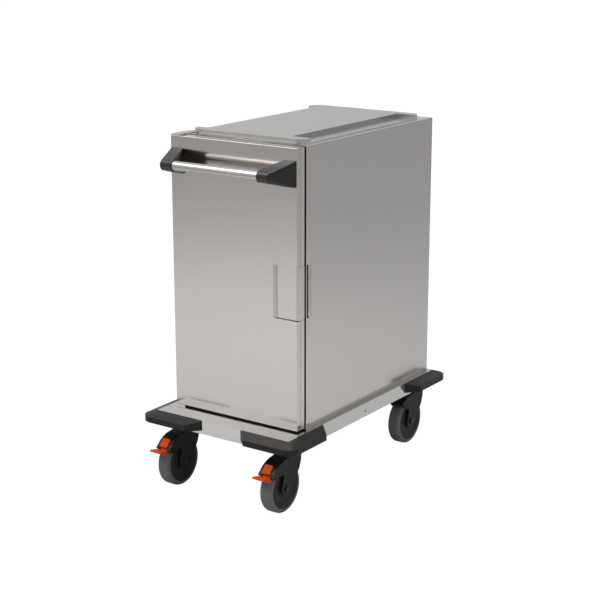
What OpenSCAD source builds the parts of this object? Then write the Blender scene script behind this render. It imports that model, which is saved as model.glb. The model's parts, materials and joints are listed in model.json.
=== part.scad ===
// Enclosed meal tray cart: an insulated stainless cabinet with one full-height door, on four swivel castors.
// The cabinet stands on a base pan that sticks out all round and carries a bumper at each corner.
// Frame: +Z up, the door faces -Y, its latch is on the +X side. Origin: floor, under the middle of the cart.

/* [Cabinet] */
// Outer width of the cabinet and of its door
body_w = 476; // [440:1:560]
// Depth of the cabinet behind the door gap
body_d = 745; // [600:5:900]
// Height of the cabinet above the base pan
body_h = 881; // [700:1:1200]
// Thickness of the insulated walls
wall_t = 26; // [20:1:36]
// Thickness of the outer and inner skins
skin_t = 1.5; // [1:0.1:2.5]
// Thickness of the plate ring round the door opening
frame_t = 2; // [1.5:0.1:3]
// Depth of the folded front edges of the side skins
skin_fold = 20; // [12:1:30]

/* [Base pan] */
// How far the pan sticks out past each side of the cabinet
base_side = 20; // [12:1:40]
// How far the pan sticks out in front of the cabinet
base_front = 122; // [100:1:160]
// How far the pan sticks out behind the cabinet
base_back = 3; // [0:1:30]
// Height of the pan's skirts, with the plate
base_h = 46; // [38:1:60]
// Sheet thickness of the pan
base_t = 2; // [1.5:0.1:3]
// Width of the lips folded inward under the long skirts
base_lip = 12; // [6:1:20]
// Diameter of the hole in the middle of each long skirt
skirt_hole_d = 7; // [5:0.5:12]
// Height of that hole's centre above the skirt's lower edge
skirt_hole_up = 18.5; // [16:0.5:24]

/* [Cross rails] */
// Width of the channels that carry the castors
rail_w = 96; // [90:1:110]
// Height of the channels
rail_h = 42; // [36:1:60]
// Sheet thickness of the channels
rail_t = 3; // [2:0.5:5]

/* [Bumpers] */
// How far a bumper stands out from the pan
bumper_out = 40; // [25:1:55]
// Length of a bumper along the front or back edge
bumper_leg_x = 183; // [120:1:220]
// Length of a bumper along a side edge
bumper_leg_y = 187; // [120:1:240]
// Height of a bumper against the pan
bumper_h = 33; // [24:1:40]
// Height of a bumper's outer face
bumper_face_h = 20; // [12:1:24]
// Bevel along the lower outer edge of a bumper
bumper_edge = 2; // [1:0.5:6]
// How far the bumper's top lies below the pan's top
bumper_drop = 1; // [0.5:0.5:4]
// Diameter of the bumper screws
bumper_screw_d = 6; // [4:1:8]

/* [Door] */
// Thickness of the door
door_t = 38; // [34:1:50]
// Gap between the door and the cabinet, filled by the gasket
door_gap = 10; // [7:0.5:14]
// Gap between the base pan and the door
door_lift = 5.5; // [4.5:0.1:9]
// Gap between the door's top and the plane of the cabinet's top
door_drop = 0.5; // [0.4:0.1:1.5]
// Depth of the outer pan of the door
door_seam = 20; // [18:1:24]
// Open seam between the door's two pans
seam_gap = 0.3; // [0.2:0.1:0.6]
// Width of the gasket
gasket_w = 12; // [8:1:12]
// Width of the gasket's foot
gasket_foot_w = 6; // [4:0.5:8]
// Thickness of the black strip under the door
sweep_t = 10; // [5:0.5:20]

/* [Hinges] */
// Distance of the pivot from the door's left edge and front face
pivot_in = 11; // [11:0.5:12.5]
// Diameter of the hinge pins
pivot_d = 8; // [6:0.5:9]
// How far a hinge pin reaches into the door
pivot_depth = 28; // [20:1:36]
// Side of the square bearing blocks in the door
block_w = 22; // [20:1:24]
// Width of the hinge plate and of the hinge foot
hinge_w = 35; // [26:1:36]
// Thickness of the hinge plate on the cabinet's top
hinge_t = 3; // [2:0.5:4]
// How far the hinge plate lies back over the cabinet's top
hinge_back = 42; // [25:1:60]

/* [Latch recess] */
// Height of the recess's middle above the base pan
latch_up = 438; // [300:1:560]
// Height of the recess in the door and the cabinet's side
latch_h = 168; // [120:1:220]
// Distance of the recess's left edge from the door's right edge
latch_w = 88; // [76:1:110]
// Depth of the lever's face below the door's face
latch_in = 8; // [6:0.5:10]
// Width of the sloped wall at the left of the recess
latch_slope = 9; // [6:0.5:14]
// How far the lever's edge lies under the lip of the sloped wall
lever_under = 2.5; // [1:0.5:5]
// Depth of the pocket behind the lever
pocket_depth = 21; // [19.5:0.5:24]
// Sheet thickness of the pocket
pocket_t = 1.2; // [0.8:0.1:2]
// Sheet thickness of the lever
lever_t = 2; // [1.5:0.1:3]
// Radius of the lever's bend round the door's edge
lever_bend = 12; // [6:1:16]
// Gap above and below the lever
lever_gap = 1; // [0.5:0.1:4]
// Gap between the lever's barrel and the front of its flat face
barrel_back = 1; // [0.5:0.1:2]
// Diameter of the lever's pin
lever_pin_d = 4; // [3:0.5:5]
// Outer diameter of the lever's barrel
barrel_d = 10; // [9:0.5:10.5]
// Length of the return spring on the pin
spring_l = 24; // [14:1:40]
// Thickness of the magnet pad on the lever's end
pad_t = 3.5; // [2.5:0.1:4]
// Depth of the recess in the cabinet's side
keeper_in = 8; // [5:0.5:12]
// Length of the recess along the cabinet's side
keeper_len = 22; // [20:0.5:30]
// Width of the keeper bar in that recess
keeper_w = 9.5; // [5:0.5:9.5]

/* [Push handle] */
// Distance of the tube's axis below the door's top
handle_drop = 77.5; // [50:0.5:120]
// Distance of the tube's axis in front of the door
handle_out = 80; // [65:1:100]
// Diameter of the tube
tube_d = 30; // [25:1:34]
// Wall thickness of the tube
tube_wall = 2; // [1.5:0.5:4]
// Distance of a bracket's outer edge from the door's edge
bracket_in = 4; // [2:1:12]
// Width of a bracket
bracket_w = 44; // [36:1:52]
// Height of a bracket's base on the door
bracket_h = 80; // [64:1:96]
// How far a bracket leans inward at the tube
bracket_lean = 31; // [10:1:40]
// Outer diameter of a bracket's socket
socket_d = 38; // [36:1:42]
// How deep the tube sits in a socket
socket_depth = 30; // [20:1:36]
// Diameter of the handle screws
handle_screw_d = 6; // [5:1:8]
// Length of the handle screws
handle_screw_l = 20; // [14:1:30]
// Distance of the handle screws above and below the bracket's middle
handle_screw_up = 26; // [20:1:30]

/* [Top] */
// Height of the raised bands at the front and the back, and of the platform between them
gallery_h = 17; // [12:1:30]
// Height of the deck that carries them
gallery_low = 5; // [4:0.5:10]
// Sheet thickness of the deck and its bands
gallery_t = 2; // [1:0.5:3]
// Corner radius of the deck
gallery_r = 33; // [20:1:40]
// Depth of the raised band at the front
band_front = 42; // [41:1:80]
// Depth of the raised band at the back
band_back = 42; // [41:1:80]
// Distance of the deck from the cabinet's right side
gallery_right = 16; // [6:1:30]
// Distance of the deck from the left side, clear of the hinge plate
gallery_left = 38; // [37:1:60]
// Distance of the deck behind the cabinet's front
gallery_front = 4; // [2:1:20]
// Distance of the deck from the cabinet's back
gallery_back = 51; // [30:1:80]
// Width of the raised platform
platform_w = 308; // [220:2:340]

/* [Tray racks] */
// Number of runner pairs
levels = 8; // [4:1:10]
// Height from one runner to the next
level_pitch = 100; // [65:1:110]
// Height of the lowest runner above the cabinet's floor
first_level = 30; // [24:1:60]
// Width of a runner's shelf
runner_w = 22; // [14:1:30]
// Height of a runner's web
runner_h = 15; // [10:1:24]
// Sheet thickness of a runner
runner_t = 1.5; // [1:0.1:3]
// Thickness of a rack's uprights
upright_t = 24; // [16:1:30]
// Width of a rack's uprights
upright_w = 16; // [10:1:25]
// Free room at the front and back ends of the runners
rack_end = 16; // [8:1:40]

/* [Castors] */
// Diameter of the wheels
wheel_d = 160; // [150:1:165]
// Width of the tyres
tyre_w = 43; // [38:1:46]
// Radius of the tyre's shoulders
shoulder_r = 9; // [4:0.5:10]
// Diameter at which the tyre sits on the hub
hub_d = 132; // [120:1:138]
// Distance of the wheel's axle behind the swivel axis
trail = 38; // [34:1:42]
// Height of a castor from the floor to the top of its plate
castor_h = 205; // [203:1:225]
// Distance of the swivel axes from the pan's side edges
castor_in_x = 56; // [50:1:70]
// Distance of the front swivel axes from the pan's front edge
castor_in_front = 70; // [60:1:90]
// Distance of the rear swivel axes from the pan's back edge
castor_in_back = 50; // [50:1:80]
// Width of the fork
fork_w = 55; // [52:1:60]
// Thickness of the fork's legs
leg_t = 4.5; // [3:0.1:5]
// Radius of the fork's leg round the axle
leg_r = 26; // [20:1:30]
// Gap between the tyre and the fork's roof
roof_gap = 4; // [3:0.5:6]
// Thickness of the fork's roof
roof_t = 12; // [10:0.5:16]
// Diameter of the axles
axle_d = 12; // [10:0.5:14]
// Diameter of the kingpin on which a fork swivels
kingpin_d = 16; // [12:1:20]
// How far the fork's crown stands above its roof
crown_up = 2; // [1:0.5:4]
// Diameter of the neck above the fork
neck_d = 24; // [20:1:40]
// Diameter of the flange under the castor plate
flange_d = 58; // [44:1:64]
// Thickness of the castor plate
plate_t = 4; // [3:0.5:6]
// Bolt spacing of a castor plate across the cart
bolt_dx = 80; // [72:1:84]
// Bolt spacing of a castor plate along the cart
bolt_dy = 60; // [58:1:66]
// Diameter of the castor bolts
bolt_d = 8; // [6:1:10]

/* [Pedals] */
// Width of a pedal's rocker
pedal_w = 29; // [24:1:41]
// Width of a pedal's lower lip
pedal_lip_w = 44; // [40:1:50]
// Diameter of a pedal's pin
pedal_pin_d = 6; // [4:0.5:7]
// How far the lip's tip reaches in front of the swivel axis
pedal_reach = 152; // [140:1:160]

/* [Hidden] */
$fn = 48;

// Finishes, as red, green and blue
STEEL = [0.72, 0.71, 0.69];
BRIGHT = [0.80, 0.80, 0.80];
LINER = [0.78, 0.78, 0.77];
BLACK = [0.10, 0.10, 0.11];
BUMPER = [0.17, 0.17, 0.17];
TYRE = [0.34, 0.34, 0.35];
ORANGE = [0.87, 0.33, 0.10];
FOAM = [0.90, 0.84, 0.62];
ZINC = [0.62, 0.63, 0.65];

// Clearances
fit = 0.05;     // running fit on a pin, each side
rest = 0.3;     // rest gap between pieces that move past each other
eps = 1;        // how far a cutting tool runs past what it cuts

// Depths, from the door's face to the back, with the origin under the middle
front_reach = base_front - door_t - door_gap - castor_in_front + pedal_reach;
rear_reach = door_t + door_gap + body_d + base_back + bumper_out;
door_y = (front_reach - rear_reach) / 2;
cab_y = door_y + door_t + door_gap;
back_y = cab_y + body_d;
wall_y = cab_y + frame_t;
pan_y0 = cab_y - base_front;
pan_y1 = back_y + base_back;

// Heights
base_top = castor_h + rail_h + base_t;
pan_under = base_top - base_t;
skirt_z = base_top - base_h;
cab_top = base_top + body_h;
skin_top = cab_top - skin_t;
floor_z = base_top + wall_t;
ceiling_z = cab_top - wall_t;
door_z0 = base_top + door_lift;
door_z1 = cab_top - door_drop;
handle_z = door_z1 - handle_drop;

// Widths
half_w = body_w / 2;
inner_w = half_w - wall_t;
pan_x = half_w + base_side;
rail_x = pan_x - base_t - rest;

// Castors: swivel axes and the wheel seen from its swivel axis
castor_x = pan_x - castor_in_x;
castor_y = [pan_y0 + castor_in_front, pan_y1 - castor_in_back];
wheel_r = wheel_d / 2;
cavity_r = wheel_r + roof_gap;
hood_r = cavity_r + roof_t;
cavity_w = fork_w - 2 * leg_t;
plate_z = castor_h - plate_t;
fork_top = wheel_r + hood_r + crown_up;
pin_angle = 133;
pedal_pin_r = wheel_r + 13;
pedal_pin = wheel_point(pedal_pin_r, pin_angle);

// Latch recess, measured from the door's right edge and its face
latch_z0 = base_top + latch_up - latch_h / 2;
latch_z1 = latch_z0 + latch_h;
recess_x = half_w - latch_w;
step_x = recess_x + latch_slope;
lip_y = latch_in - rest - pocket_t;
under_x = step_x - lever_under - 1.5;
lever_x = half_w - rest;
pocket_x = lever_x - 9;
keeper_x = half_w - keeper_in;
barrel_x = step_x - lever_under + barrel_d / 2;
barrel_y = latch_in + barrel_back + barrel_d / 2;
lever_end = door_t + 1;
keeper_y = wall_y + skin_t;
handle_x = half_w - bracket_in - bracket_w / 2;
socket_x = handle_x - bracket_lean;

// A point in the fork's side view, by distance and angle from the wheel's centre
function wheel_point(r, a) = [-trail + r * cos(a), wheel_r + r * sin(a)];
// Where a line from p touches the circle of radius r round c, on the given side
function touch(p, c, r, side) =
    let (d = p - c, a = atan2(d[1], d[0]) + side * acos(r / norm(d)))
    c + r * [cos(a), sin(a)];

// ---------- helpers ----------

module box(lo, hi) {
    translate(lo) cube(hi - lo);
}

// A 2D shape drawn in Y and Z, as thick as w across X
module across(w) {
    rotate([90, 0, 90]) linear_extrude(w, center = true) children();
}

// A cylinder along X, centred
module rod(d, l) {
    rotate([0, 90, 0]) cylinder(d = d, h = l, center = true);
}

// A rectangle from lo to hi with round corners
module round_rect(lo, hi, r) {
    translate([lo[0] + r, lo[1]]) square([hi[0] - lo[0] - 2 * r, hi[1] - lo[1]]);
    translate([lo[0], lo[1] + r]) square([hi[0] - lo[0], hi[1] - lo[1] - 2 * r]);
    for (x = [lo[0] + r, hi[0] - r], y = [lo[1] + r, hi[1] - r])
        translate([x, y]) circle(r);
}

// A tray of sheet: the box from lo to hi, open on the face that the vector names
module pan(lo, hi, t, open) {
    difference() {
        box(lo, hi);
        box(lo + [t, t, t] + [min(open[0], 0), min(open[1], 0), min(open[2], 0)] * (t + eps),
            hi - [t, t, t] + [max(open[0], 0), max(open[1], 0), max(open[2], 0)] * (t + eps));
    }
}

module each_castor() {
    for (x = [-castor_x, castor_x], y = castor_y) translate([x, y, 0]) children();
}

module castor_bolts_at() {
    for (x = [-bolt_dx / 2, bolt_dx / 2], y = [-bolt_dy / 2, bolt_dy / 2]) translate([x, y, 0]) children();
}

// ---------- base ----------

module base_pan() {
    color(STEEL) difference() {
        union() {
            pan([-pan_x, pan_y0, skirt_z], [pan_x, pan_y1, base_top], base_t, [0, 0, -1]);
            for (s = [-1, 1])
                translate([s * (pan_x - base_t - base_lip / 2), 0, 0])
                    box([-base_lip / 2, castor_y[0] + rail_w / 2 + rest, skirt_z],
                        [base_lip / 2, castor_y[1] - rail_w / 2 - rest, skirt_z + base_t]);
        }
        translate([0, (pan_y0 + pan_y1) / 2, skirt_z + skirt_hole_up])
            rod(skirt_hole_d, 2 * pan_x + 2 * eps);
        bumper_screws_at() rod(bumper_screw_d + 2 * fit, 8 * base_t);
    }
}

module cross_rails() {
    color(ZINC) for (y = castor_y) difference() {
        union() {
            box([-rail_x, y - rail_w / 2, castor_h], [rail_x, y + rail_w / 2, castor_h + rail_t]);
            for (side = [-rail_w / 2, rail_w / 2 - rail_t])
                box([-rail_x, y + side, castor_h], [rail_x, y + side + rail_t, pan_under]);
        }
        for (x = [-castor_x, castor_x]) translate([x, y, castor_h]) castor_bolts_at()
            cylinder(d = bolt_d + 0.4, h = 4 * rail_t, center = true);
        // room for the heads of the bumper screws
        bumper_screws_at() rod(bumper_screw_d * 2, 24);
    }
}

// The fixed half of a castor: plate, flange, neck and kingpin
module castor_mounts() {
    color(ZINC) each_castor() {
        difference() {
            translate([0, 0, plate_z + plate_t / 2])
                cube([bolt_dx + 25, bolt_dy + 25, plate_t], center = true);
            translate([0, 0, plate_z]) castor_bolts_at()
                cylinder(d = bolt_d + 0.4, h = 4 * plate_t, center = true);
        }
        translate([0, 0, fork_top + rest]) cylinder(d = neck_d, h = plate_z - fork_top - rest);
        translate([0, 0, plate_z - 4]) cylinder(d = flange_d, h = 4);
        translate([0, 0, fork_top - roof_t - 2]) cylinder(d = kingpin_d, h = roof_t + 4);
    }
}

module fasteners() {
    color(ZINC) {
        each_castor() castor_bolts_at() {
            translate([0, 0, plate_z - 5]) cylinder(d = bolt_d * 1.7, h = 5);
            translate([0, 0, plate_z]) cylinder(d = bolt_d, h = plate_t + rail_t);
            translate([0, 0, castor_h + rail_t]) cylinder(d = bolt_d * 1.7, h = 6);
        }
        bumper_screws_at() {
            translate([bumper_out / 4 - base_t / 2, 0, 0]) rod(bumper_screw_d, bumper_out / 2 + base_t);
            translate([-base_t - 2, 0, 0]) rod(bumper_screw_d * 1.8, 4);
        }
    }
}

// ---------- bumpers ----------

// A bumper's section: distance from the pan, and height
module bumper_section() {
    z1 = base_top - bumper_drop;
    z0 = z1 - bumper_h;
    polygon([
        [0, z0], [bumper_out - bumper_edge, z0], [bumper_out, z0 + bumper_edge],
        [bumper_out, z0 + bumper_face_h], [0, z1]
    ]);
}

// The bumper of the corner at +X and +Y, its inner corner at the origin
module bumper_corner() {
    z_mid = base_top - bumper_h / 2;
    difference() {
        union() {
            rotate_extrude(angle = 90) bumper_section();
            rotate([90, 0, 0]) linear_extrude(bumper_leg_y) bumper_section();
            translate([-bumper_leg_x, 0, 0]) rotate([90, 0, 90])
                linear_extrude(bumper_leg_x) bumper_section();
        }
        // slanted ends
        translate([0, -bumper_leg_y, z_mid]) rotate([0, 0, 45]) translate([0, -2 * bumper_out, 0])
            cube([6 * bumper_out, 4 * bumper_out, 2 * bumper_h], center = true);
        translate([-bumper_leg_x, 0, z_mid]) rotate([0, 0, -45]) translate([-2 * bumper_out, 0, 0])
            cube([4 * bumper_out, 6 * bumper_out, 2 * bumper_h], center = true);
        bumper_screw_pair() rod(bumper_screw_d, bumper_out + 2 * fit);
    }
}

// Screw places on one bumper, each with its own X axis pointing out of the pan
module bumper_screw_pair() {
    z = base_top - bumper_drop - bumper_h / 2;
    translate([0, 50 - bumper_leg_y, z]) children();
    translate([50 - bumper_leg_x, 0, z]) rotate([0, 0, 90]) children();
}

module at_corner(sx, sy) {
    translate([sx * pan_x, sy > 0 ? pan_y1 : pan_y0, 0])
        mirror([sx < 0 ? 1 : 0, 0, 0]) mirror([0, sy < 0 ? 1 : 0, 0]) children();
}

module bumper_screws_at() {
    for (sx = [-1, 1], sy = [-1, 1]) at_corner(sx, sy) bumper_screw_pair() children();
}

module bumper_front_left() { color(BUMPER) at_corner(-1, -1) bumper_corner(); }
module bumper_front_right() { color(BUMPER) at_corner(1, -1) bumper_corner(); }
module bumper_rear_left() { color(BUMPER) at_corner(-1, 1) bumper_corner(); }
module bumper_rear_right() { color(BUMPER) at_corner(1, 1) bumper_corner(); }

// ---------- cabinet ----------

// The outer skin of the right side, with its front edge folded in
module side_skin() {
    box([half_w - skin_t, wall_y, base_top], [half_w, back_y, skin_top]);
    box([half_w - skin_fold, wall_y, base_top], [half_w, wall_y + skin_t, skin_top]);
}

// Outline of the recess in the cabinet's side, grown by g
module keeper_outline(g) {
    polygon([
        [half_w + eps, keeper_y - g], [keeper_x - g, keeper_y - g],
        [keeper_x - g, keeper_y + keeper_len / 2 + 0.5 * g],
        [half_w, keeper_y + keeper_len + 1.5 * g], [half_w + eps, keeper_y + keeper_len + 1.5 * g]
    ]);
}

module keeper_space(g) {
    translate([0, 0, latch_z0 - g]) linear_extrude(latch_h + 2 * g) keeper_outline(g);
}

module side_panel_left() {
    color(STEEL) mirror([1, 0, 0]) side_skin();
}

module side_panel_right() {
    color(STEEL) difference() {
        union() {
            side_skin();
            intersection() {
                keeper_space(skin_t);
                box([0, cab_y, base_top], [half_w, back_y, cab_top]);
            }
        }
        keeper_space(0);
    }
}

module back_panel() {
    color(STEEL)
        box([-half_w + skin_t, back_y - skin_t, base_top], [half_w - skin_t, back_y, skin_top]);
}

module top_panel() {
    color(STEEL) box([-half_w, wall_y, skin_top], [half_w, back_y, cab_top]);
}

module cabinet_floor() {
    color(LINER) pan([-inner_w, wall_y, base_top], [inner_w, back_y - wall_t, floor_z], skin_t, [0, 0, -1]);
}

module front_frame() {
    color(STEEL) difference() {
        box([-half_w, cab_y, base_top], [half_w, wall_y, cab_top]);
        box([-inner_w, cab_y - eps, floor_z], [inner_w, wall_y + eps, ceiling_z]);
    }
}

module side_liner() {
    box([inner_w, wall_y, base_top], [inner_w + skin_t, back_y - wall_t, ceiling_z]);
}

module liner_left() { color(LINER) mirror([1, 0, 0]) side_liner(); }
module liner_right() { color(LINER) side_liner(); }

module liner_back() {
    color(LINER)
        box([-inner_w, back_y - wall_t, base_top], [inner_w, back_y - wall_t + skin_t, ceiling_z]);
}

module liner_top() {
    color(LINER) box([-inner_w, wall_y, ceiling_z], [inner_w, back_y - wall_t, ceiling_z + skin_t]);
}

// One slab in each wall, between the skins
module wall_insulation() {
    core_x0 = inner_w + skin_t;
    core_x1 = half_w - skin_t;
    core_y0 = wall_y + skin_t;
    core_y1 = back_y - skin_t;
    back_y0 = back_y - wall_t + skin_t;
    color(FOAM) {
        box([-core_x1, core_y0, base_top], [-core_x0, core_y1, skin_top]);
        difference() {
            box([core_x0, core_y0, base_top], [core_x1, core_y1, skin_top]);
            keeper_space(skin_t);
        }
        box([-inner_w, back_y0, base_top], [inner_w, core_y1, skin_top]);
        box([-inner_w, wall_y, ceiling_z + skin_t], [inner_w, back_y - wall_t, skin_top]);
        box([-inner_w + skin_t, wall_y + skin_t, base_top],
            [inner_w - skin_t, back_y - wall_t - skin_t, floor_z - skin_t]);
    }
}

// Uprights on the right wall and the runners that they carry
module tray_rack() {
    face_x = inner_w - upright_t;
    y0 = wall_y + rack_end;
    y1 = back_y - wall_t - rack_end;
    for (y = [y0, (y0 + y1 - upright_w) / 2, y1 - upright_w])
        box([face_x, y, floor_z], [inner_w, y + upright_w, ceiling_z - rest]);
    for (i = [0 : levels - 1]) translate([face_x - rest, 0, floor_z + first_level + i * level_pitch]) {
        box([-runner_w, y0, -runner_t], [0, y1, 0]);
        box([-runner_t, y0, -runner_h], [0, y1, -runner_t]);
    }
}

module tray_rack_left() { color(LINER) mirror([1, 0, 0]) tray_rack(); }
module tray_rack_right() { color(LINER) tray_rack(); }

module keeper_bar() {
    color(BLACK) box([keeper_x, keeper_y, latch_z0], [half_w - 1, keeper_y + keeper_w, latch_z1]);
}

// ---------- top ----------

gallery_lo = [-half_w + gallery_left, cab_y + gallery_front];
gallery_hi = [half_w - gallery_right, back_y - gallery_back];

// The deck and its two bands as a solid, with all walls and tops moved in by g
module gallery_solid(g) {
    bands = [[gallery_lo[1] - eps, gallery_lo[1] + band_front - g],
             [gallery_hi[1] - band_back + g, gallery_hi[1] + eps]];
    translate([0, 0, cab_top - g]) {
        linear_extrude(gallery_low) round_rect(gallery_lo + [g, g], gallery_hi - [g, g], gallery_r - g);
        for (y = bands) intersection() {
            linear_extrude(gallery_h) round_rect(gallery_lo + [g, g], gallery_hi - [g, g], gallery_r - g);
            box([-body_w, y[0], 0], [body_w, y[1], gallery_h]);
        }
    }
}

module gallery() {
    color(STEEL) difference() {
        gallery_solid(0);
        gallery_solid(gallery_t);
    }
}

// The raised platform: a shallow pan, upside down, from band to band
module top_platform() {
    color(STEEL) pan([-platform_w / 2, gallery_lo[1] + band_front, cab_top + gallery_low],
                     [platform_w / 2, gallery_hi[1] - band_back, cab_top + gallery_h], skin_t, [0, 0, -1]);
}

// ---------- hinges ----------

module at_pivot() {
    translate([-half_w + pivot_in, door_y + pivot_in, 0]) children();
}

module hinge_plate_top() {
    color(STEEL) difference() {
        translate([0, 0, cab_top]) linear_extrude(hinge_t)
            round_rect([-half_w, door_y], [-half_w + hinge_w, cab_y + hinge_back], 4);
        at_pivot() cylinder(d = pivot_d + 2 * fit, h = 2 * cab_top);
    }
}

module hinge_foot_bottom() {
    color(STEEL) difference() {
        box([-half_w, door_y, base_top], [-half_w + hinge_w, cab_y - 2, door_z0 - rest]);
        at_pivot() cylinder(d = pivot_d + 2 * fit, h = 2 * base_top);
    }
}

module hinge_pins() {
    color(BRIGHT) at_pivot() {
        translate([0, 0, base_top]) cylinder(d = pivot_d, h = door_lift + pivot_depth);
        translate([0, 0, door_z1 - pivot_depth]) cylinder(d = pivot_d, h = pivot_depth + door_drop + hinge_t);
    }
}

// ---------- door ----------

// Outline of the latch recess, seen from above, with a lip at the foot of its sloped wall.
// X from the middle, Y from the door's face
module recess_outline() {
    polygon([
        [recess_x - latch_slope, -lip_y], [step_x, lip_y], [step_x, lip_y + pocket_t],
        [under_x, lip_y + pocket_t], [under_x, pocket_depth], [pocket_x, pocket_depth],
        [pocket_x, door_t + eps], [half_w + eps, door_t + eps], [half_w + eps, -lip_y]
    ]);
}

// The same outline with the pocket's sheet round it
module pocket_outline() {
    t = pocket_t;
    slope_out = t * norm([latch_slope, lip_y]) / lip_y;
    corner_y = (under_x - t - recess_x + slope_out) * lip_y / latch_slope;
    polygon([
        [recess_x - slope_out - latch_slope, -lip_y], [under_x - t, corner_y],
        [under_x - t, pocket_depth + t], [pocket_x - t, pocket_depth + t], [pocket_x - t, door_t + eps],
        [half_w + eps, door_t + eps], [half_w + eps, -lip_y]
    ]);
}

module recess_space() {
    translate([0, door_y, latch_z0]) linear_extrude(latch_h) recess_outline();
}

module pocket_space() {
    translate([0, door_y, latch_z0 - pocket_t]) linear_extrude(latch_h + 2 * pocket_t) pocket_outline();
}

module door_outer_pan() {
    color(STEEL) difference() {
        pan([-half_w, door_y, door_z0], [half_w, door_y + door_seam, door_z1], skin_t, [0, 1, 0]);
        pocket_space();
        at_pivot() cylinder(d = pivot_d + 1, h = 2 * cab_top);
        handle_screws_at() rod(handle_screw_d + 2 * fit, 8 * skin_t);
    }
}

module door_inner_pan() {
    color(LINER) difference() {
        pan([-half_w, door_y + door_seam + seam_gap, door_z0], [half_w, door_y + door_t, door_z1],
            skin_t, [0, -1, 0]);
        pocket_space();
    }
}

module door_core() {
    t = [skin_t, skin_t, skin_t];
    color(FOAM) difference() {
        box([-half_w, door_y, door_z0] + t, [half_w, door_y + door_t, door_z1] - t);
        pocket_space();
        hinge_blocks_at(rest) square(block_w + rest);
        handle_screws_at() translate([-6, 0, 0]) rod(handle_screw_d * 2, 14);
    }
}

module door_gasket() {
    y = [door_y + door_t, door_y + door_t + 3, cab_y - rest];
    color(BLACK) {
        gasket_ring(y[0], y[1], (gasket_w - gasket_foot_w) / 2, gasket_foot_w);
        gasket_ring(y[1], y[2], 0, gasket_w);
    }
}

// Closes the gap between the door and the base pan, clear of the hinge foot
module door_sweep() {
    color(BLACK) box([-half_w + hinge_w + 5, door_y + 2, base_top + rest],
                     [half_w - 0.5, door_y + 2 + sweep_t, door_z0]);
}

// A ring round the door opening, from depth y0 to y1; near is its distance from the opening
module gasket_ring(y0, y1, near, w) {
    a = 1 + near;
    b = a + w;
    difference() {
        box([-inner_w - b, y0, floor_z - b], [inner_w + b, y1, ceiling_z + b]);
        box([-inner_w - a, y0 - eps, floor_z - a], [inner_w + a, y1 + eps, ceiling_z + a]);
    }
}

// The places of the two bearing blocks, tall enough for the pins
module hinge_blocks_at(g) {
    h = pivot_depth + 4;
    translate([-half_w + skin_t, door_y + skin_t, 0]) {
        translate([0, 0, door_z0 + skin_t - g]) linear_extrude(h + 2 * g) children();
        translate([0, 0, door_z1 - skin_t - h - g]) linear_extrude(h + 2 * g) children();
    }
}

module hinge_blocks() {
    color(BLACK) difference() {
        hinge_blocks_at(0) square(block_w);
        at_pivot() {
            translate([0, 0, door_z0]) cylinder(d = pivot_d + 2 * fit, h = pivot_depth + rest);
            translate([0, 0, door_z1 - pivot_depth - rest])
                cylinder(d = pivot_d + 2 * fit, h = pivot_depth + rest);
        }
    }
}

// ---------- latch ----------

module latch_pocket() {
    color(STEEL) difference() {
        intersection() {
            pocket_space();
            box([0, door_y, 0], [half_w, door_y + door_t, cab_top]);
        }
        recess_space();
        latch_axis() cylinder(d = lever_pin_d + 2 * fit, h = 2 * cab_top);
    }
}

module latch_axis() {
    translate([barrel_x, door_y + barrel_y, 0]) children();
}

module latch_pin() {
    color(BRIGHT) latch_axis() translate([0, 0, latch_z0 - pocket_t])
        cylinder(d = lever_pin_d, h = latch_h + 2 * pocket_t);
}

// The coils of the return spring, in the gap of the lever's barrel
module latch_spring() {
    coil_d = 1.2;
    turns = floor((spring_l - 2) / coil_d / 1.25);
    pitch = (spring_l - 2 - coil_d) / (turns - 1);
    color(ZINC) latch_axis() translate([0, 0, latch_z0 + latch_h / 2 - (turns - 1) * pitch / 2])
        for (i = [0 : turns - 1]) translate([0, 0, i * pitch])
            rotate_extrude() translate([lever_pin_d / 2 + coil_d / 2 + 0.4, 0]) circle(d = coil_d, $fn = 16);
}

// The lever in plan: a flat face, a bend round the door's edge and a side
module lever_outline() {
    bend = [lever_x - lever_bend, latch_in + lever_bend];
    edge_x = step_x - lever_under;
    translate([edge_x, latch_in]) square([bend[0] - edge_x, lever_t]);
    translate([lever_x - lever_t, bend[1]]) square([lever_t, lever_end - bend[1]]);
    translate(bend) intersection() {
        difference() {
            circle(lever_bend);
            circle(lever_bend - lever_t);
        }
        translate([0, -lever_bend]) square(lever_bend);
    }
}

module latch_lever() {
    h = latch_h - 2 * lever_gap;
    color(STEEL) translate([0, 0, latch_z0 + lever_gap]) difference() {
        union() {
            translate([0, door_y, 0]) linear_extrude(h) lever_outline();
            latch_axis() cylinder(d = barrel_d, h = h);
        }
        latch_axis() translate([0, 0, -eps]) cylinder(d = lever_pin_d + 2 * fit, h = h + 2 * eps);
        // room for the spring
        latch_axis() translate([0, (lever_t - barrel_back + eps) / 2, h / 2])
            cube([2 * barrel_d, barrel_d + barrel_back - lever_t + eps, spring_l], center = true);
    }
}

module latch_pad() {
    color(BLACK) box([lever_x - pad_t, door_y + lever_end, latch_z0 + lever_gap],
                     [lever_x, cab_y - rest, latch_z1 - lever_gap]);
}

// ---------- push handle ----------

module handle_tube() {
    l = 2 * (socket_x - bracket_w / 2 + socket_depth);
    color(BRIGHT) translate([0, door_y - handle_out, handle_z]) difference() {
        rod(tube_d, l);
        rod(tube_d - 2 * tube_wall, l + 2 * eps);
    }
}

// Screw places of both brackets, each with its own X axis pointing out of the door
module handle_screws_at() {
    for (x = [-handle_x, handle_x], z = [-handle_screw_up, handle_screw_up])
        translate([x, door_y, handle_z + z]) rotate([0, 0, -90]) children();
}

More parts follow.
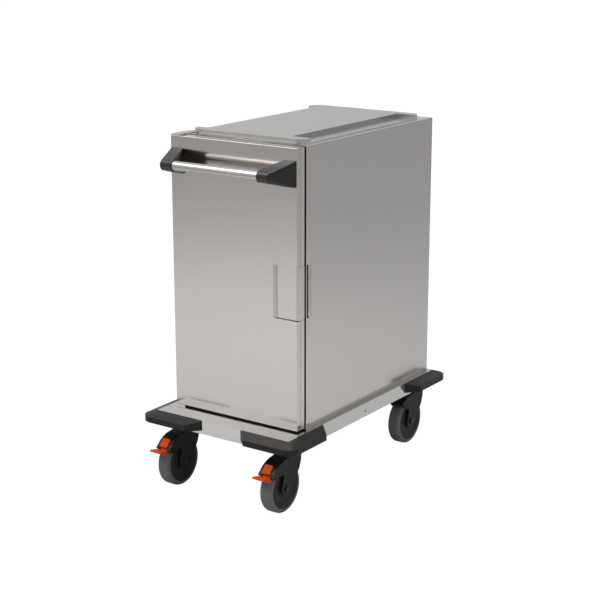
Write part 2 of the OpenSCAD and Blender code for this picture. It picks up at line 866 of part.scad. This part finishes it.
// The right bracket: from a tall base on the door, leaning inward to a round socket
module handle_bracket() {
    difference() {
        hull() {
            translate([handle_x, door_y, handle_z]) rotate([90, 0, 0]) linear_extrude(3)
                round_rect([-bracket_w / 2, -bracket_h / 2], [bracket_w / 2, bracket_h / 2], 4, $fn = 24);
            translate([socket_x, door_y - handle_out, handle_z]) rod(socket_d - 4, bracket_w);
            translate([socket_x, door_y - handle_out, handle_z]) rod(socket_d, bracket_w - 4);
        }
        translate([socket_x - bracket_w / 2 + socket_depth / 2 - eps, door_y - handle_out, handle_z])
            rod(tube_d + 2 * fit, socket_depth + 2 * eps);
        handle_screws_at() rod(handle_screw_d + 2 * fit, 2 * handle_screw_l);
    }
}

module handle_bracket_left() { color(BLACK) mirror([1, 0, 0]) handle_bracket(); }
module handle_bracket_right() { color(BLACK) handle_bracket(); }

module handle_screws() {
    color(ZINC) handle_screws_at() {
        translate([handle_screw_l / 2 - skin_t, 0, 0]) rod(handle_screw_d, handle_screw_l);
        translate([-skin_t - 2, 0, 0]) rod(handle_screw_d * 1.7, 4);
    }
}

// ---------- castors ----------

// A piece of a ring round the wheel's axle, from angle a0 to a1, as wide as w
module ring_piece(r0, r1, a0, a1, w) {
    far = 2 * r1;
    mid = (a0 + a1) / 2;
    translate([0, -trail, wheel_r]) intersection() {
        difference() {
            rod(2 * r1, w, $fn = 96);
            rod(2 * r0, w + 2 * eps, $fn = 96);
        }
        across(2 * w) polygon([
            [0, 0], far * [cos(a0), sin(a0)], far * [cos(mid), sin(mid)], far * [cos(a1), sin(a1)]
        ]);
    }
}

// Side view of the fork's crown and legs, down to the axle; the hood ends at the angle roof_end
module fork_outline(roof_end) {
    hub = [-trail, wheel_r];
    rear = [trail - 8, fork_top - 48];
    front = wheel_point(49, 107);
    inside = leg_r - 0.05;
    polygon([
        [-trail - 18, fork_top - 6], [-trail + 4, fork_top], [trail - 8, fork_top],
        [trail - 2, fork_top - 3], [trail + 1, fork_top - 10], [trail, fork_top - 24], rear,
        touch(rear, hub, inside, -1), hub, touch(front, hub, inside, 1), front,
        wheel_point(62, 124), wheel_point(78, roof_end - 1), wheel_point(hood_r - 2, roof_end - 1),
        wheel_point(hood_r - 2, 115)
    ]);
}

module fork(roof_end) {
    difference() {
        union() {
            across(fork_w) fork_outline(roof_end);
            translate([0, -trail, wheel_r]) rod(2 * leg_r, fork_w, $fn = 96);
            ring_piece(cavity_r - 10, hood_r, 80, roof_end, fork_w);
        }
        translate([0, -trail, wheel_r]) rod(2 * cavity_r, cavity_w, $fn = 96);
        translate([0, 0, fork_top - 3 * roof_t]) cylinder(d = kingpin_d + 2 * fit, h = 4 * roof_t);
        translate([0, -trail, wheel_r]) rod(axle_d + 2 * fit, 2 * fork_w);
    }
}

// A braked fork has a slot in its roof for the pedal, between two ears
module braked_fork() {
    difference() {
        fork(143);
        ring_piece(cavity_r - 3, hood_r + 6, 117, 150, pedal_w + 1);
        translate([0, pedal_pin[0], pedal_pin[1]]) rod(pedal_pin_d + 2 * fit, fork_w + 2 * eps);
    }
}

module axle() {
    head = 3.5;
    translate([0, -trail, wheel_r]) {
        rod(axle_d, fork_w);
        for (s = [-1, 1]) translate([s * (fork_w + head) / 2, 0, 0]) rod(axle_d + 8, head);
    }
}

// Everything on the wheel turns about this axis, drawn with the axis upright
module on_axle() {
    translate([0, -trail, wheel_r]) rotate([0, 90, 0]) rotate_extrude($fn = 96) children();
}

module hub() {
    boss = cavity_w / 2 - 0.6;
    rim = tyre_w / 2 - 1;
    r = hub_d / 2;
    bore = axle_d / 2 + fit;
    web = rim - 4;
    on_axle() polygon([
        [bore, -boss], [bore + 8, -boss], [bore + 11, -web], [r - 12, -web], [r - 8, -rim], [r, -rim],
        [r, rim], [r - 8, rim], [r - 12, web], [bore + 11, web], [bore + 8, boss], [bore, boss]
    ]);
}

module tyre() {
    shoulder_x = tyre_w / 2 - shoulder_r;
    difference() {
        union() {
            translate([0, -trail, wheel_r]) {
                rod(2 * (wheel_r - shoulder_r), tyre_w, $fn = 96);
                rod(wheel_d, 2 * shoulder_x, $fn = 96);
            }
            for (side = [-1, 1]) translate([side * shoulder_x, 0, 0])
                on_axle() translate([wheel_r - shoulder_r, 0]) circle(shoulder_r);
        }
        translate([0, -trail, wheel_r]) rod(hub_d + 2 * fit, tyre_w + 2 * eps, $fn = 96);
    }
}

// Side view of a pedal: a rocker over the wheel and a lip below it
module pedal_rocker() {
    polygon([
        wheel_point(88, 122), wheel_point(104.5, 121.5), wheel_point(102, 130), wheel_point(100.5, 138.5),
        wheel_point(91, 139.5), wheel_point(91, 148), wheel_point(86.5, 150), wheel_point(86.5, 141)
    ]);
}

module pedal_lip() {
    polygon([
        wheel_point(99.5, 145), [-pedal_reach + 2, wheel_r + 64.5], [-pedal_reach, wheel_r + 59],
        wheel_point(88, 153), wheel_point(87, 147)
    ]);
}

module pedal() {
    across(pedal_w) pedal_rocker();
    across(pedal_lip_w) pedal_lip();
    translate([0, pedal_pin[0], pedal_pin[1]]) rod(pedal_pin_d, fork_w - 3);
}

module front_left() { translate([-castor_x, castor_y[0], 0]) children(); }
module front_right() { translate([castor_x, castor_y[0], 0]) children(); }
module rear_left() { translate([-castor_x, castor_y[1], 0]) children(); }
module rear_right() { translate([castor_x, castor_y[1], 0]) children(); }

module fork_front_left() { color(BLACK) front_left() braked_fork(); }
module fork_front_right() { color(BLACK) front_right() braked_fork(); }
module fork_rear_left() { color(BLACK) rear_left() fork(128); }
module fork_rear_right() { color(BLACK) rear_right() fork(128); }
module axle_front_left() { color(ZINC) front_left() axle(); }
module axle_front_right() { color(ZINC) front_right() axle(); }
module axle_rear_left() { color(ZINC) rear_left() axle(); }
module axle_rear_right() { color(ZINC) rear_right() axle(); }
module hub_front_left() { color(BLACK) front_left() hub(); }
module hub_front_right() { color(BLACK) front_right() hub(); }
module hub_rear_left() { color(BLACK) rear_left() hub(); }
module hub_rear_right() { color(BLACK) rear_right() hub(); }
module tyre_front_left() { color(TYRE) front_left() tyre(); }
module tyre_front_right() { color(TYRE) front_right() tyre(); }
module tyre_rear_left() { color(TYRE) rear_left() tyre(); }
module tyre_rear_right() { color(TYRE) rear_right() tyre(); }
module pedal_left() { color(ORANGE) front_left() pedal(); }
module pedal_right() { color(ORANGE) front_right() pedal(); }

// ---------- all nodes ----------

base_pan();
cross_rails();
castor_mounts();
fasteners();
bumper_front_left();
bumper_front_right();
bumper_rear_left();
bumper_rear_right();
side_panel_left();
side_panel_right();
back_panel();
top_panel();
cabinet_floor();
front_frame();
liner_left();
liner_right();
liner_back();
liner_top();
wall_insulation();
tray_rack_left();
tray_rack_right();
gallery();
top_platform();
keeper_bar();
hinge_plate_top();
hinge_foot_bottom();
hinge_pins();
door_outer_pan();
door_inner_pan();
door_core();
door_gasket();
door_sweep();
hinge_blocks();
latch_pocket();
latch_pin();
latch_spring();
latch_lever();
latch_pad();
handle_tube();
handle_bracket_left();
handle_bracket_right();
handle_screws();
fork_front_left();
fork_front_right();
fork_rear_left();
fork_rear_right();
axle_front_left();
axle_front_right();
axle_rear_left();
axle_rear_right();
hub_front_left();
hub_front_right();
hub_rear_left();
hub_rear_right();
tyre_front_left();
tyre_front_right();
tyre_rear_left();
tyre_rear_right();
pedal_left();
pedal_right();
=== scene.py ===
"""Enclosed meal tray cart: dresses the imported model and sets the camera, the floor and the light."""
import json
import math

import bmesh
import bpy
from mathutils import Matrix, Vector


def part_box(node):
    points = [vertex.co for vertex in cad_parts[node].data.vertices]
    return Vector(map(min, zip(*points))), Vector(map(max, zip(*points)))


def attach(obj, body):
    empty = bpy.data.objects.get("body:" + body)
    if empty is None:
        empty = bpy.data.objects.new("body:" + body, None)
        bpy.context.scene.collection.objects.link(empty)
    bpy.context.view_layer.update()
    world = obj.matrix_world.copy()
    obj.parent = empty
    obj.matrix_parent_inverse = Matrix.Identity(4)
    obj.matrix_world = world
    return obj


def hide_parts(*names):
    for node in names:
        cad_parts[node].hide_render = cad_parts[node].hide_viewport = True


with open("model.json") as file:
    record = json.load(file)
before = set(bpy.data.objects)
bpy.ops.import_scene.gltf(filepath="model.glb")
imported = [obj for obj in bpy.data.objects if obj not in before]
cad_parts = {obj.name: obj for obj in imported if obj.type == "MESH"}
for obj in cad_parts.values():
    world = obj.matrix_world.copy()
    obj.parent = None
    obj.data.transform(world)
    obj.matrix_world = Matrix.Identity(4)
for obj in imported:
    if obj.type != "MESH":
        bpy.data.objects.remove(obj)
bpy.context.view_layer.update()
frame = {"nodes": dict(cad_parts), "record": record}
NODES = frame["nodes"]
BODY_OF = {node: body for body, nodes in frame["record"]["behaviour"]["bodies"].items() for node in nodes}
SLOT_OF = {s["node"]: s["material_slot"] for s in frame["record"]["subparts"]}
CORNERS = ("front_left", "front_right", "rear_left", "rear_right")
MM = 0.001


# ---------- materials ----------

def new_material(name, color, metallic=0.0, roughness=0.5, specular=0.5):
    """A Principled material. Returns it with its node tree, shader node and object coordinates."""
    mat = bpy.data.materials.new(name)
    mat.use_nodes = True
    tree = mat.node_tree
    shader = tree.nodes["Principled BSDF"]
    shader.inputs["Base Color"].default_value = (*color, 1)
    shader.inputs["Metallic"].default_value = metallic
    shader.inputs["Roughness"].default_value = roughness
    shader.inputs["Specular IOR Level"].default_value = specular
    coord = tree.nodes.new("ShaderNodeTexCoord")
    return mat, tree, shader, coord.outputs["Object"]


def noise(tree, vector, scale, detail=3, stretch=(1, 1, 1), roughness=0.5):
    """A noise texture, its space scaled by stretch first. Returns the factor output."""
    mapping = tree.nodes.new("ShaderNodeMapping")
    mapping.inputs["Scale"].default_value = stretch
    tree.links.new(vector, mapping.inputs["Vector"])
    tex = tree.nodes.new("ShaderNodeTexNoise")
    tex.inputs["Scale"].default_value = scale
    tex.inputs["Detail"].default_value = detail
    tex.inputs["Roughness"].default_value = roughness
    tree.links.new(mapping.outputs["Vector"], tex.inputs["Vector"])
    return tex.outputs["Fac"]


def ramp(tree, factor, low, high, start=0.3, end=0.7):
    """A colour or value that goes from low to high with factor."""
    node = tree.nodes.new("ShaderNodeValToRGB")
    elements = node.color_ramp.elements
    for element, place, value in ((elements[0], start, low), (elements[1], end, high)):
        element.position = place
        element.color = (*value, 1) if isinstance(value, tuple) else (value, value, value, 1)
    tree.links.new(factor, node.inputs["Fac"])
    return node.outputs["Color"]


def bump(tree, shader, height, strength, distance):
    node = tree.nodes.new("ShaderNodeBump")
    node.inputs["Strength"].default_value = strength
    node.inputs["Distance"].default_value = distance
    tree.links.new(height, node.inputs["Height"])
    tree.links.new(node.outputs["Normal"], shader.inputs["Normal"])


def tinted(color, share):
    return tuple(c * share for c in color)


FINE, COARSE = 700, 6  # stretch of the brushing noise across and along its grain
GRAIN = {"x": (COARSE, FINE, FINE), "y": (FINE, COARSE, FINE), "z": (FINE, FINE, COARSE)}


def steel(name, color, roughness, grain):
    """Brushed steel with its grain along the axis named by grain."""
    mat, tree, shader, obj = new_material(name, color, metallic=1.0, roughness=roughness)
    streak = noise(tree, obj, 1.0, detail=4, stretch=GRAIN[grain], roughness=0.6)
    cloud = noise(tree, obj, 3.5, detail=2)
    tree.links.new(ramp(tree, streak, tinted(color, 0.965), tinted(color, 1.03)), shader.inputs["Base Color"])
    tree.links.new(ramp(tree, cloud, roughness - 0.025, roughness + 0.025), shader.inputs["Roughness"])
    bump(tree, shader, streak, 0.06, 0.0001)
    return mat


def painted_reflection_tube(name, color, roughness):
    """Polished tube steel with painted reflections: light and dark bands that run along X, painted into its
    colour, stand in for the lamps and room that the tube mirrors.
    """
    mat, tree, shader, obj = new_material(name, color, metallic=1.0, roughness=roughness)
    painted_reflection_bands = noise(tree, obj, 1.0, detail=3, stretch=(0.4, 85, 85), roughness=0.6)
    # painted reflection: in its dark stripes the colour falls to 0.55 of itself, standing in for the
    # reflected room
    tree.links.new(ramp(tree, painted_reflection_bands, tinted(color, 0.55), color, 0.40, 0.60), shader.inputs["Base Color"])
    tree.links.new(ramp(tree, painted_reflection_bands, roughness + 0.06, roughness), shader.inputs["Roughness"])
    return mat


def plastic(name, color, roughness, grain_scale=1400, specular=0.4, variation=0.08):
    """Moulded plastic or rubber with a fine spark-eroded grain."""
    mat, tree, shader, obj = new_material(name, color, roughness=roughness, specular=specular)
    fine = noise(tree, obj, grain_scale, detail=2)
    broad = noise(tree, obj, 14, detail=3)
    tree.links.new(ramp(tree, broad, tinted(color, 1 - variation), tinted(color, 1 + variation)),
                   shader.inputs["Base Color"])
    tree.links.new(ramp(tree, broad, roughness - 0.04, roughness + 0.04), shader.inputs["Roughness"])
    bump(tree, shader, fine, 0.35, 0.00008)
    return mat


def foam(name, color):
    mat, tree, shader, obj = new_material(name, color, roughness=0.9, specular=0.2)
    cells = noise(tree, obj, 500, detail=4)
    tree.links.new(ramp(tree, cells, tinted(color, 0.8), color), shader.inputs["Base Color"])
    bump(tree, shader, cells, 0.5, 0.0004)
    return mat


DOOR_STEEL = (0.62, 0.588, 0.562)
SIDE_STEEL = (0.62, 0.60, 0.585)
FLAT_STEEL = (0.62, 0.608, 0.598)
BASE_STEEL = (0.62, 0.613, 0.60)
MATERIALS = {
    "steel_z": steel("satin_steel_door", DOOR_STEEL, 0.13, "z"),
    "steel_side": steel("satin_steel_side", SIDE_STEEL, 0.23, "z"),
    "steel_y": steel("satin_steel_lengthwise", FLAT_STEEL, 0.20, "y"),
    "steel_x": steel("satin_steel_crosswise", BASE_STEEL, 0.10, "x"),
    "steel_top": steel("matt_steel_lengthwise", FLAT_STEEL, 0.38, "y"),
    "bright": painted_reflection_tube("bright_tube_steel_painted_reflections", (0.72, 0.706, 0.694), 0.14),
    "liner": steel("lining_steel", (0.66, 0.65, 0.63), 0.28, "z"),
    "zinc": steel("zinc_plated_steel", (0.50, 0.51, 0.53), 0.42, "z"),
    "handle": plastic("black_handle_plastic", (0.007, 0.007, 0.007), 0.34, specular=0.5),
    "bumper": plastic("dark_bumper_plastic", (0.008, 0.008, 0.008), 0.40, grain_scale=900, specular=0.25),
    "fork": plastic("dark_castor_plastic", (0.006, 0.006, 0.0065), 0.50, specular=0.30),
    "hub": plastic("hub_plastic", (0.020, 0.021, 0.022), 0.55, specular=0.3),
    "axle": plastic("blackened_axle", (0.012, 0.012, 0.013), 0.45, specular=0.4),
    "tyre": plastic("grey_tyre_rubber", (0.125, 0.126, 0.130), 0.75, grain_scale=700, specular=0.25),
    "orange": plastic("orange_pedal_plastic", (0.52, 0.062, 0.0025), 0.50, specular=0.12, variation=0.04),
    "gasket": plastic("black_gasket_rubber", (0.004, 0.004, 0.004), 0.65, specular=0.15),
    "foam": foam("insulation_foam", (0.75, 0.66, 0.42)),
}
BY_SLOT = {
    "satin_steel": "steel_z", "bright_steel": "bright", "liner_steel": "liner", "zinc_steel": "zinc",
    "black_plastic": "handle", "bumper_plastic": "bumper", "fork_plastic": "fork", "tyre_rubber": "tyre",
    "orange_plastic": "orange", "gasket_rubber": "gasket", "foam": "foam",
}
BY_NODE = {
    "top_panel": "steel_top", "top_platform": "steel_y", "gallery": "steel_y", "base_pan": "steel_x",
    "hinge_plate_top": "steel_y", "hinge_foot_bottom": "steel_x",
    "side_panel_left": "steel_side", "side_panel_right": "steel_side",
    "cabinet_floor": "steel_y", "liner_top": "steel_y",
}
for corner in CORNERS:
    BY_NODE[f"hub_{corner}"] = "hub"
    BY_NODE[f"axle_{corner}"] = "axle"


def finish_of(node):
    return MATERIALS[BY_NODE.get(node, BY_SLOT[SLOT_OF[node]])]


for name, obj in NODES.items():
    for place in obj.material_slots:
        place.material = finish_of(name)


# ---------- rounded copies of the CAD pieces ----------

WELD = 1e-6           # vertices nearer than this are one, in metres
NEAR = 2e-5           # a point this near to a face of a box lies on it, in metres
COPLANAR = math.radians(0.4)
SHARP = math.radians(30)
SMOOTH = math.radians(32)


def clean_copy(node):
    """The node's mesh as one clean bmesh of flat faces."""
    bm = bmesh.new()
    bm.from_mesh(NODES[node].data)
    bmesh.ops.remove_doubles(bm, verts=bm.verts, dist=WELD)
    bmesh.ops.dissolve_limit(bm, angle_limit=COPLANAR, verts=bm.verts, edges=bm.edges)
    return bm


def add_piece(name, bm, node):
    """Makes an object of bm, with the finish of node and smooth shading between sharp edges."""
    mesh = bpy.data.meshes.new(name)
    bm.to_mesh(mesh)
    bm.free()
    for face in mesh.polygons:
        face.use_smooth = True
    mesh.set_sharp_from_angle(angle=SMOOTH)
    piece = bpy.data.objects.new(name, mesh)
    bpy.context.collection.objects.link(piece)
    mesh.materials.append(finish_of(node))
    return piece


def on_box(low, high, point):
    """How many faces of the box the point lies on."""
    return sum(min(abs(point[i] - low[i]), abs(point[i] - high[i])) < NEAR for i in range(3))


def rounded(node, width, segments=3, pick=None):
    """Replaces a CAD node by a copy whose edges are rounded by width, in mm.
    pick chooses the edges by their two ends; without it every sharp edge is rounded."""
    bm = clean_copy(node)
    weight = bm.edges.layers.float.new("bevel_weight_edge")
    for edge in bm.edges:
        if len(edge.link_faces) != 2 or edge.calc_face_angle() < SHARP:
            continue
        a, b = (v.co for v in edge.verts)
        if pick is None or pick(a, b):
            edge[weight] = 1.0
    piece = add_piece(f"{node}_rounded", bm, node)
    mod = piece.modifiers.new("edges", "BEVEL")
    mod.width = width * MM
    mod.segments = segments
    mod.limit_method = "WEIGHT"
    mod.use_clamp_overlap = True
    # the large flat faces keep their own normals
    flat = piece.modifiers.new("flat_faces", "WEIGHTED_NORMAL")
    flat.keep_sharp = True
    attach(piece, BODY_OF[node])
    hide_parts(node)


def outer_edges(node, keep=lambda a, b: True):
    """Picks the edges that lie on the corners of the node's own box and that keep accepts."""
    low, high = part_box(node)
    return lambda a, b: on_box(low, high, a) >= 2 and on_box(low, high, b) >= 2 and keep(a, b)


def in_front(node):
    """Accepts the edges that lie in the node's front plane."""
    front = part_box(node)[0][1] + NEAR
    return lambda a, b: max(a.y, b.y) < front


for corner in CORNERS:
    rounded(f"bumper_{corner}", 2.5)
    rounded(f"fork_{corner}", 1.6)
for node in ("side_panel_left", "side_panel_right", "base_pan"):
    rounded(node, 0.6, 3, outer_edges(node))
rounded("door_outer_pan", 1.4, 4, outer_edges("door_outer_pan"))
rounded("front_frame", 0.6, 3, outer_edges("front_frame", in_front("front_frame")))
rounded("top_panel", 0.6, 3, outer_edges("top_panel", lambda a, b: not in_front("top_panel")(a, b)))
for side in ("left", "right"):
    rounded(f"handle_bracket_{side}", 3.0, 4)
    rounded(f"pedal_{side}", 1.4)
rounded("latch_pad", 0.8, 2)


# ---------- dark discs behind the skirts' two holes, as painted shade inside them ---

SHADE_DISC_D = 6.8 * MM
SHADE_DISC_DEPTH = 1.6 * MM
SHADE_DISC_IN = 0.2 * MM    # how far a shade disc's face lies behind the skirt's
HOLE_UP = 18.5 * MM   # height of a hole above the skirt's lower edge
# painted shade: a near-black disc just behind each hole makes it read dark, as the shade inside the hole
# would
low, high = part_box("base_pan")
for side, face in (("left", low[0]), ("right", high[0])):
    inward = math.copysign(1, -face)
    middle = (face + inward * (SHADE_DISC_DEPTH / 2 + SHADE_DISC_IN), (low[1] + high[1]) / 2, low[2] + HOLE_UP)
    turn = Matrix.Translation(middle) @ Matrix.Rotation(math.pi / 2, 4, "Y")
    bm = bmesh.new()
    bmesh.ops.create_cone(bm, cap_ends=True, segments=32, radius1=SHADE_DISC_D / 2, radius2=SHADE_DISC_D / 2,
                          depth=SHADE_DISC_DEPTH, matrix=turn)
    shade_disc = add_piece(f"skirt_hole_shade_disc_{side}", bm, "door_gasket")
    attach(shade_disc, BODY_OF["base_pan"])


# ---------- camera ----------

cam_data = bpy.data.cameras.new("camera")
cam_data.lens = 88.07
cam_data.sensor_width = 36
camera = bpy.data.objects.new("camera", cam_data)
camera.location = (2.66288, -3.82427, 1.80953)
camera.rotation_euler = (math.radians(75.01), 0, math.radians(34.72))
bpy.context.collection.objects.link(camera)
scene = bpy.context.scene
scene.camera = camera
scene.view_settings.view_transform = "Standard"


# ---------- floor ----------

FLOOR_R = 30.0
FLOOR_RINGS = 12
FLOOR_SPOKES = 64
FLOOR_PAINT = (0.575, 0.575, 0.575)
FLOOR_GLOW = 1.16         # strength of the white that the camera sees in the floor
FLOOR_GLOW_SHARE = 0.86   # its share against the paint, which keeps the shadow


def math_node(tree, operation, a, b):
    """One step of arithmetic on sockets or plain numbers."""
    node = tree.nodes.new("ShaderNodeMath")
    node.operation = operation
    for socket, value in zip(node.inputs, (a, b)):
        if isinstance(value, (int, float)):
            socket.default_value = value
        else:
            tree.links.new(value, socket)
    return node.outputs[0]


def mixed(tree, factor, first, second):
    """A mix of two shaders, from first to second with factor. Returns its output."""
    node = tree.nodes.new("ShaderNodeMixShader")
    tree.links.new(factor, node.inputs["Fac"])
    tree.links.new(first, node.inputs[1])
    tree.links.new(second, node.inputs[2])
    return node.outputs[0]


def floor_disc():
    bm = bmesh.new()
    middle = bm.verts.new((0, 0, 0))
    last = []
    for k in range(1, FLOOR_RINGS + 1):
        r = FLOOR_R * k / FLOOR_RINGS
        turns = [t * math.tau / FLOOR_SPOKES for t in range(FLOOR_SPOKES)]
        ring = [bm.verts.new((r * math.cos(turn), r * math.sin(turn), 0)) for turn in turns]
        for t in range(FLOOR_SPOKES):
            after = (t + 1) % FLOOR_SPOKES
            if last:
                bm.faces.new((last[t], ring[t], ring[after], last[after]))
            else:
                bm.faces.new((middle, ring[t], ring[after]))
        last = ring
    mesh = bpy.data.meshes.new("floor")
    bm.to_mesh(mesh)
    bm.free()
    obj = bpy.data.objects.new("floor", mesh)
    bpy.context.collection.objects.link(obj)
    return obj


def floor_white():
    """Grey paint for all but the camera, which sees it mostly as an even white."""
    mat = bpy.data.materials.new("floor_white")
    mat.use_nodes = True
    tree = mat.node_tree
    tree.nodes.clear()
    out = tree.nodes.new("ShaderNodeOutputMaterial")
    path = tree.nodes.new("ShaderNodeLightPath")
    paint = tree.nodes.new("ShaderNodeBsdfDiffuse")
    paint.inputs["Color"].default_value = (*FLOOR_PAINT, 1)
    white = tree.nodes.new("ShaderNodeEmission")
    white.inputs["Strength"].default_value = FLOOR_GLOW
    share = math_node(tree, "MULTIPLY", path.outputs["Is Camera Ray"], FLOOR_GLOW_SHARE)
    tree.links.new(mixed(tree, share, paint.outputs[0], white.outputs[0]), out.inputs["Surface"])
    return mat


floor = floor_disc()
floor.data.materials.append(floor_white())


# ---------- room and lamps ----------

# The room is brighter to the left and overhead, so that the front reads lighter than the side
ROOM_LEVEL = 0.34
ROOM_LEFT = 0.24
ROOM_UP = 0.64
LAMP_SPREAD = 140  # degrees: the large lamps light the floor and show less in the steel top


def backdrop(tree, strength):
    """A white background of the given strength, a socket or a plain number. Returns its output."""
    node = tree.nodes.new("ShaderNodeBackground")
    node.inputs["Color"].default_value = (1, 1, 1, 1)
    if isinstance(strength, float):
        node.inputs["Strength"].default_value = strength
    else:
        tree.links.new(strength, node.inputs["Strength"])
    return node.outputs[0]


def studio():
    """The room that lights the cart, behind an even white that only the camera sees."""
    world = bpy.data.worlds.new("studio")
    world.use_nodes = True
    tree = world.node_tree
    tree.nodes.clear()
    out = tree.nodes.new("ShaderNodeOutputWorld")
    path = tree.nodes.new("ShaderNodeLightPath")
    coord = tree.nodes.new("ShaderNodeTexCoord")
    split = tree.nodes.new("ShaderNodeSeparateXYZ")
    tree.links.new(coord.outputs["Generated"], split.inputs[0])
    leftward = math_node(tree, "MULTIPLY", split.outputs["X"], -ROOM_LEFT)
    upward = math_node(tree, "MULTIPLY", math_node(tree, "MAXIMUM", split.outputs["Z"], 0.0), ROOM_UP)
    level = math_node(tree, "ADD", math_node(tree, "ADD", leftward, upward), ROOM_LEVEL)
    mix = mixed(tree, path.outputs["Is Camera Ray"], backdrop(tree, level), backdrop(tree, 1.0))
    tree.links.new(mix, out.inputs["Surface"])
    return world


scene.world = studio()


def area_lamp(name, place, aim, size, watts, spread=180):
    """An oval lamp as wide and as high as size, at place, facing aim. spread is in degrees."""
    data = bpy.data.lights.new(name, "AREA")
    data.shape = "ELLIPSE"
    data.size, data.size_y = size
    data.energy = watts
    data.spread = math.radians(spread)
    lamp = bpy.data.objects.new(name, data)
    lamp.location = place
    lamp.rotation_euler = (Vector(aim) - Vector(place)).to_track_quat("-Z", "Y").to_euler()
    bpy.context.collection.objects.link(lamp)


area_lamp("key", (-1.1, -2.0, 3.0), (-1.1, -2.0, 0), (2.6, 2.6), 44, LAMP_SPREAD)
area_lamp("side", (1.5, 0.2, 2.9), (1.5, 0.2, 0), (2.2, 2.2), 31, LAMP_SPREAD)
area_lamp("left", (-1.53, -2.37, 1.15), (0.0, -0.4, 0.25), (1.6, 0.34), 0.8)
